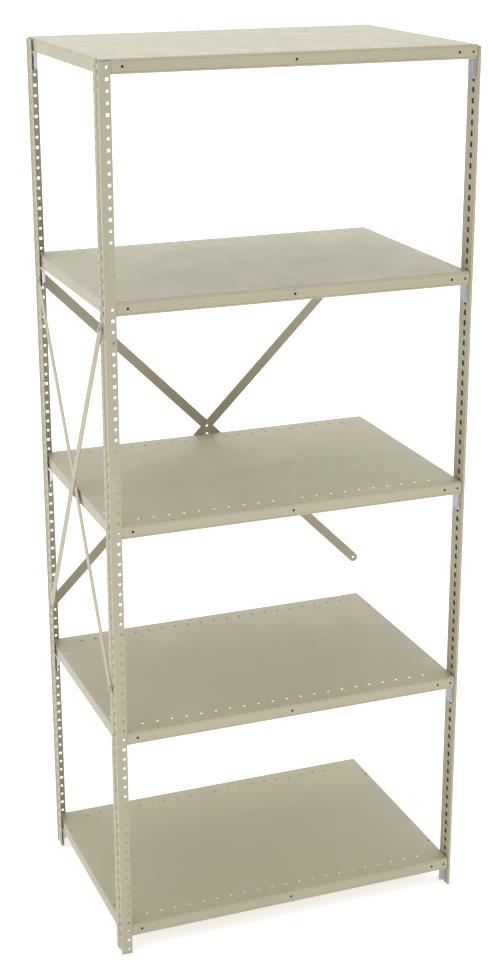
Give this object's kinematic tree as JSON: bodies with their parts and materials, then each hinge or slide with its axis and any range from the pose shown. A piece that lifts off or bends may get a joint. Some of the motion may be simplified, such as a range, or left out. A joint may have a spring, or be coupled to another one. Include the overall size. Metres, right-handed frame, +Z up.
{
  "type": "open clip-type steel shelving unit",
  "caption": "Tall open steel shelving add-on unit: perforated angle posts, box-formed shelves hung on clips, and crossed sway braces at the back and the left end.",
  "frame": {"origin": "On the floor, at the centre of the whole unit's footprint box", "axes": "+Z up; +X to the right as seen from the front; -Y is the front"},
  "size_m": [0.93, 0.6216, 2.2139],
  "materials": {
    "post_enamel": "baked putty-beige enamel, satin, slight orange peel",
    "shelf_enamel": "baked putty-beige enamel, satin, slight orange peel",
    "brace_enamel": "baked putty-beige enamel, satin",
    "zinc_plate": "clear zinc plate with a cool grey tint"
  },
  "bodies": {
    "root": {"front_left_post": "post_enamel", "rear_left_post": "post_enamel", "front_right_post": "post_enamel", "shelf_1": "shelf_enamel", "shelf_2": "shelf_enamel", "shelf_3": "shelf_enamel", "shelf_4": "shelf_enamel", "shelf_5": "shelf_enamel", "clip_1_front_left": "zinc_plate", "clip_1_rear_left": "zinc_plate", "clip_1_front_right": "zinc_plate", "clip_2_front_left": "zinc_plate", "clip_2_rear_left": "zinc_plate", "clip_2_front_right": "zinc_plate", "clip_3_front_left": "zinc_plate", "clip_3_rear_left": "zinc_plate", "clip_3_front_right": "zinc_plate", "clip_4_front_left": "zinc_plate", "clip_4_rear_left": "zinc_plate", "clip_4_front_right": "zinc_plate", "clip_5_front_left": "zinc_plate", "clip_5_rear_left": "zinc_plate", "clip_5_front_right": "zinc_plate", "back_brace_rising": "brace_enamel", "back_brace_falling": "brace_enamel", "side_brace_rising": "brace_enamel", "side_brace_falling": "brace_enamel", "side_bolt_front_upper": "zinc_plate", "side_nut_front_upper": "zinc_plate", "side_bolt_front_lower": "zinc_plate", "side_nut_front_lower": "zinc_plate", "side_bolt_rear_upper": "zinc_plate", "side_nut_rear_upper": "zinc_plate", "side_bolt_rear_lower": "zinc_plate", "side_nut_rear_lower": "zinc_plate", "back_bolt_upper": "zinc_plate", "back_nut_upper": "zinc_plate", "back_bolt_lower": "zinc_plate", "back_nut_lower": "zinc_plate"}
  },
  "joints": []
}
